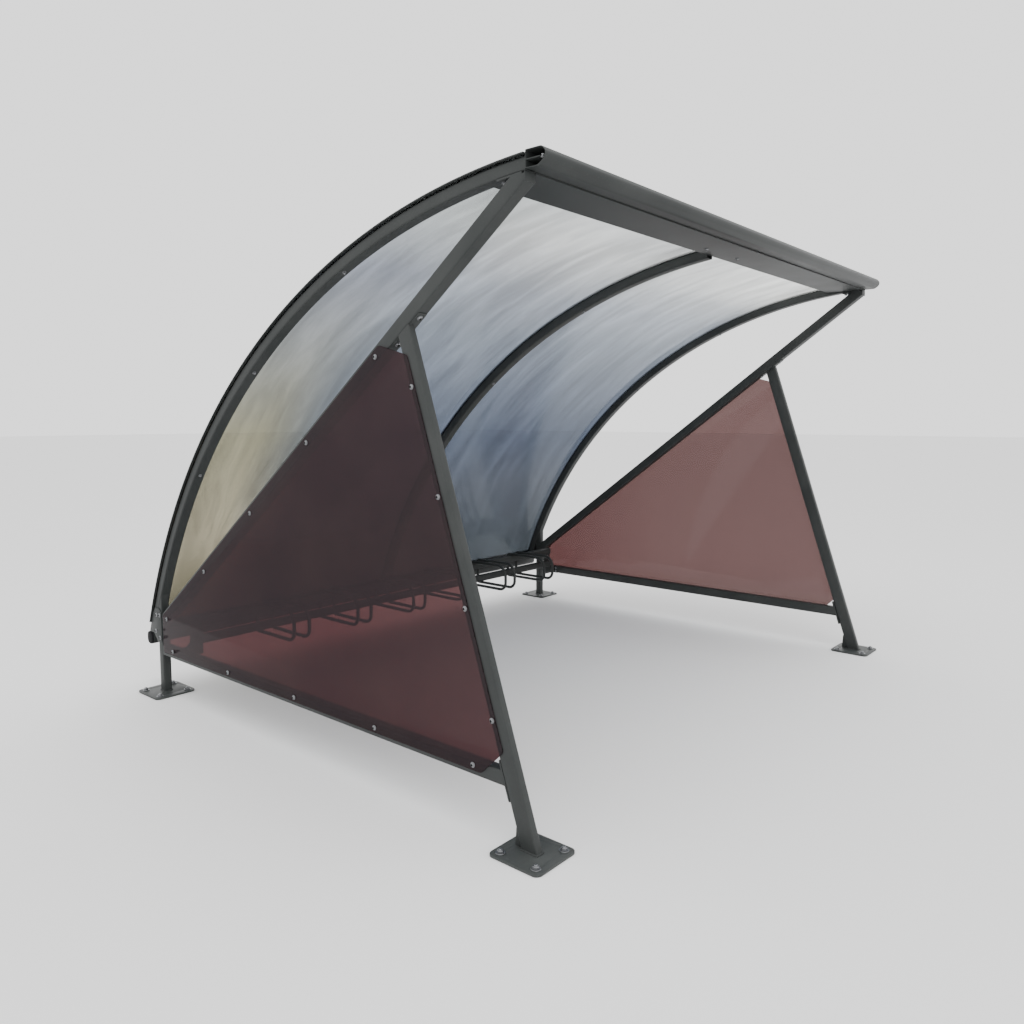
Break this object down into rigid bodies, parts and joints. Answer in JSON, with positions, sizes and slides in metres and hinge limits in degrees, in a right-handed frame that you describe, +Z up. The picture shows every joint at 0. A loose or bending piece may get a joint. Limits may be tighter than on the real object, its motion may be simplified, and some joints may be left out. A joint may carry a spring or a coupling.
{
  "type": "bike shelter",
  "caption": "Open-fronted bicycle shelter with curved ribs, bent clear roof sheets, tinted side panels, splayed bolted feet and a low rack of wheel hoops.",
  "frame": {"origin": "on the ground, at the middle of the shelter's outline from above", "axes": "+X along the shelter's length, +Y towards the low rear edge of the roof, +Z up; the open front faces -Y"},
  "size_m": [3.17, 2.5384, 2.103],
  "materials": {
    "frame_steel": "satin powder coat, dark grey",
    "roof_sheet": "clear, lightly smoked sheet",
    "side_panel": "bronze tinted clear sheet"
  },
  "bodies": {
    "root": {"left_rear_plate": "frame_steel", "left_rear_post": "frame_steel", "left_rear_gusset": "frame_steel", "left_front_plate": "frame_steel", "left_front_leg": "frame_steel", "left_side_rail": "frame_steel", "left_strut": "frame_steel", "left_rib": "frame_steel", "left_side_panel": "side_panel", "right_rear_plate": "frame_steel", "right_rear_post": "frame_steel", "right_rear_gusset": "frame_steel", "right_front_plate": "frame_steel", "right_front_leg": "frame_steel", "right_side_rail": "frame_steel", "right_strut": "frame_steel", "right_rib": "frame_steel", "right_side_panel": "side_panel", "middle_rib": "frame_steel", "rear_sill": "frame_steel", "front_header": "frame_steel", "front_nose": "frame_steel", "left_roof_sheet": "roof_sheet", "right_roof_sheet": "roof_sheet", "left_cover_strip": "frame_steel", "middle_cover_strip": "frame_steel", "right_cover_strip": "frame_steel", "left_rack_bracket": "frame_steel", "right_rack_bracket": "frame_steel", "rack_upper_rail": "frame_steel", "rack_lower_rail": "frame_steel", "hoop_1_left": "frame_steel", "hoop_1_right": "frame_steel", "hoop_2_left": "frame_steel", "hoop_2_right": "frame_steel", "hoop_3_left": "frame_steel", "hoop_3_right": "frame_steel", "hoop_4_left": "frame_steel", "hoop_4_right": "frame_steel", "hoop_5_left": "frame_steel", "hoop_5_right": "frame_steel", "hoop_6_left": "frame_steel", "hoop_6_right": "frame_steel"}
  },
  "joints": []
}
